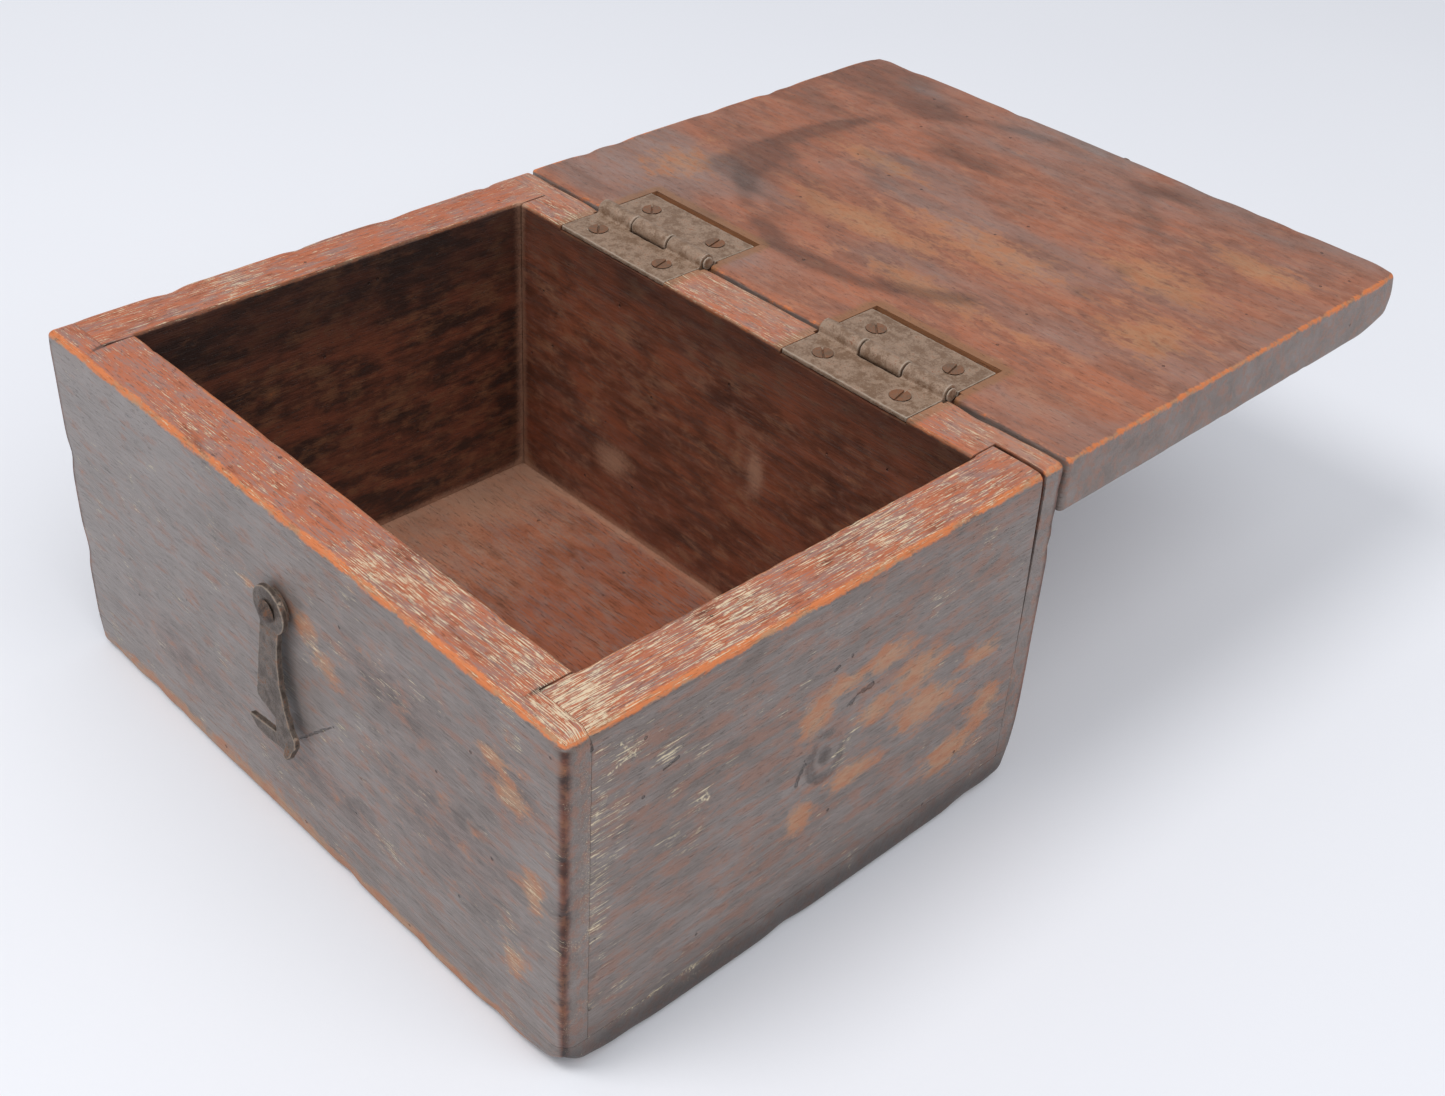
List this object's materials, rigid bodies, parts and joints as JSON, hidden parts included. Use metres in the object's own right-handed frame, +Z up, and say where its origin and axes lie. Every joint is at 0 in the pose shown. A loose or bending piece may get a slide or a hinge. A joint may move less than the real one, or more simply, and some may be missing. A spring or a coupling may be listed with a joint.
{
  "type": "tea caddy",
  "caption": "Small rectangular hardwood tea caddy with an open interior, a flat lid on iron butt hinges and an iron swing hook on the front.",
  "frame": {"origin": "centre of the body's underside, on the surface that it stands on", "axes": "-Y is the front with the hook, +X is to the right seen from the front, +Z is up"},
  "size_m": [0.16, 0.255, 0.0816],
  "materials": {
    "body_wood": "worn dark satin",
    "lid_wood": "worn satin, stained",
    "iron": "aged, rust stained",
    "dark_iron": "dark, rusted"
  },
  "bodies": {
    "box": {"front_board": "body_wood", "back_board": "body_wood", "left_side_board": "body_wood", "right_side_board": "body_wood", "bottom_board": "body_wood", "left_hinge_body_leaf": "iron", "left_hinge_pin": "iron", "left_hinge_body_screws": "dark_iron", "right_hinge_body_leaf": "iron", "right_hinge_pin": "iron", "right_hinge_body_screws": "dark_iron", "latch_washer": "dark_iron", "latch_pivot_nail": "dark_iron", "bottom_nails": "dark_iron"},
    "lid": {"lid_board": "lid_wood", "left_hinge_lid_leaf": "iron", "left_hinge_lid_screws": "dark_iron", "right_hinge_lid_leaf": "iron", "right_hinge_lid_screws": "dark_iron", "keeper_nail": "dark_iron"},
    "hook": {"latch_hook": "iron"}
  },
  "joints": [
    {"name": "lid_hinge", "type": "hinge", "parent": "box", "child": "lid", "pos_m": [0, 0.0613, 0.0794], "axis": [1, 0, 0], "range_deg": [0, 180]},
    {"name": "hook_pivot", "type": "hinge", "parent": "box", "child": "hook", "pos_m": [0, -0.061, 0.0578], "axis": [0, 1, 0], "range_deg": [-155, 180]}
  ]
}
